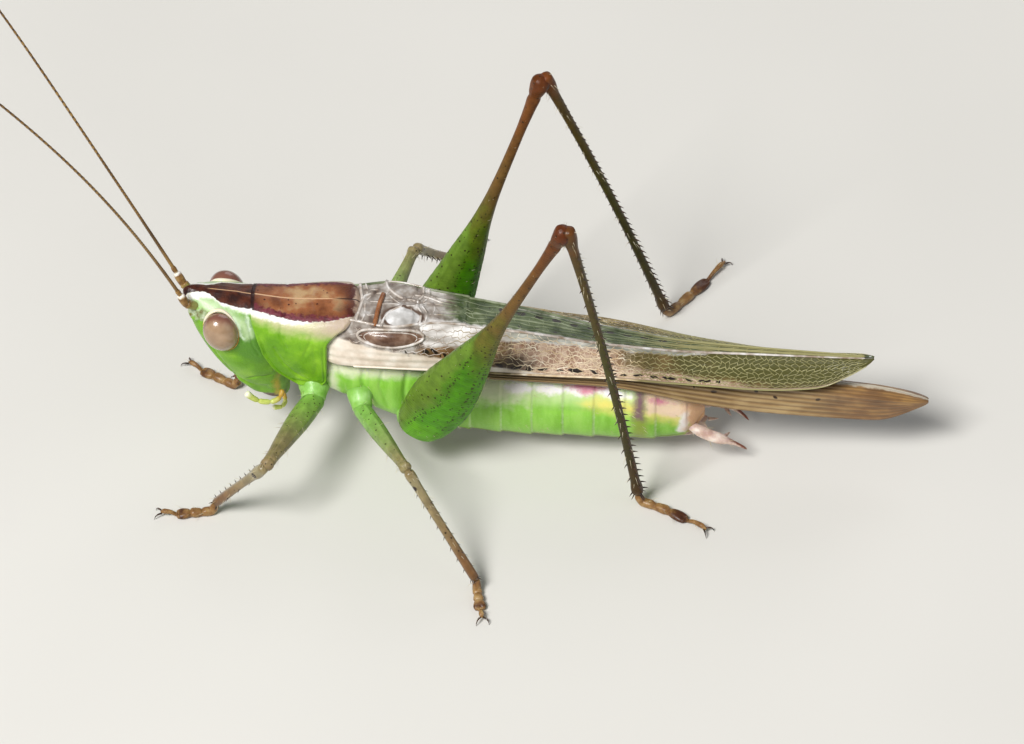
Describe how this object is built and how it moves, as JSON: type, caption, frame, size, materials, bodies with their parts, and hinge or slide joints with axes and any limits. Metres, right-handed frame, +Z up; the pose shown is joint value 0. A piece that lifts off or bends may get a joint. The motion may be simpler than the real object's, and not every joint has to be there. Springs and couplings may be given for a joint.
{
  "type": "male meadow katydid (long-horned grasshopper), standing model",
  "caption": "Life-size still model of a slender meadow katydid standing on its feet, with folded wings, very long feelers, spined shins and knees raised high over its back",
  "frame": {"origin": "the floor under the middle of the insect's bounding box: z = 0 is the floor that the soles stand on", "axes": "+X from head to tail, +Y to the insect's right side, +Z up"},
  "size_m": [0.0424, 0.0152, 0.0267],
  "materials": {
    "head_shell": "semi-gloss green insect shell with a brown stripe edged in white along the crown",
    "pronotum_shell": "semi-gloss brown back plate with green side lobes and a white shoulder band",
    "body_shell": "semi-gloss pale green shell with white, pink and yellow flank patches",
    "eye_shell": "smooth tan compound eye, darker above",
    "feeler": "thin golden brown jointed feeler",
    "pale_flesh": "pale soft shell, satin",
    "forewing": "smoky leathery wing with pale net veins and a row of dark spots",
    "hindwing": "folded brown wing with golden pleats",
    "limb_green": "semi-gloss green thigh with dark dots, brown towards the knee",
    "shin": "olive brown spiny shin",
    "foot": "tan brown foot with a dark lobed joint"
  },
  "bodies": {
    "root": {"head": "head_shell", "pronotum": "pronotum_shell", "thorax": "body_shell", "abdomen": "body_shell", "eye_left": "eye_shell", "scape_left": "feeler", "antenna_base_left": "feeler", "antenna_tip_left": "feeler", "palp_left": "pale_flesh", "tegmen_left": "forewing", "hindwing_left": "hindwing", "cercus_left": "pale_flesh", "eye_right": "eye_shell", "scape_right": "feeler", "antenna_base_right": "feeler", "antenna_tip_right": "feeler", "palp_right": "pale_flesh", "tegmen_right": "forewing", "hindwing_right": "hindwing", "cercus_right": "pale_flesh", "coxa_fore_left": "limb_green", "femur_fore_left": "limb_green", "tibia_fore_left": "shin", "tarsus_fore_left": "foot", "coxa_fore_right": "limb_green", "femur_fore_right": "limb_green", "tibia_fore_right": "shin", "tarsus_fore_right": "foot", "coxa_mid_left": "limb_green", "femur_mid_left": "limb_green", "tibia_mid_left": "shin", "tarsus_mid_left": "foot", "coxa_mid_right": "limb_green", "femur_mid_right": "limb_green", "tibia_mid_right": "shin", "tarsus_mid_right": "foot", "coxa_hind_left": "limb_green", "femur_hind_left": "limb_green", "tibia_hind_left": "shin", "tarsus_hind_left": "foot", "coxa_hind_right": "limb_green", "femur_hind_right": "limb_green", "tibia_hind_right": "shin", "tarsus_hind_right": "foot"}
  },
  "joints": []
}
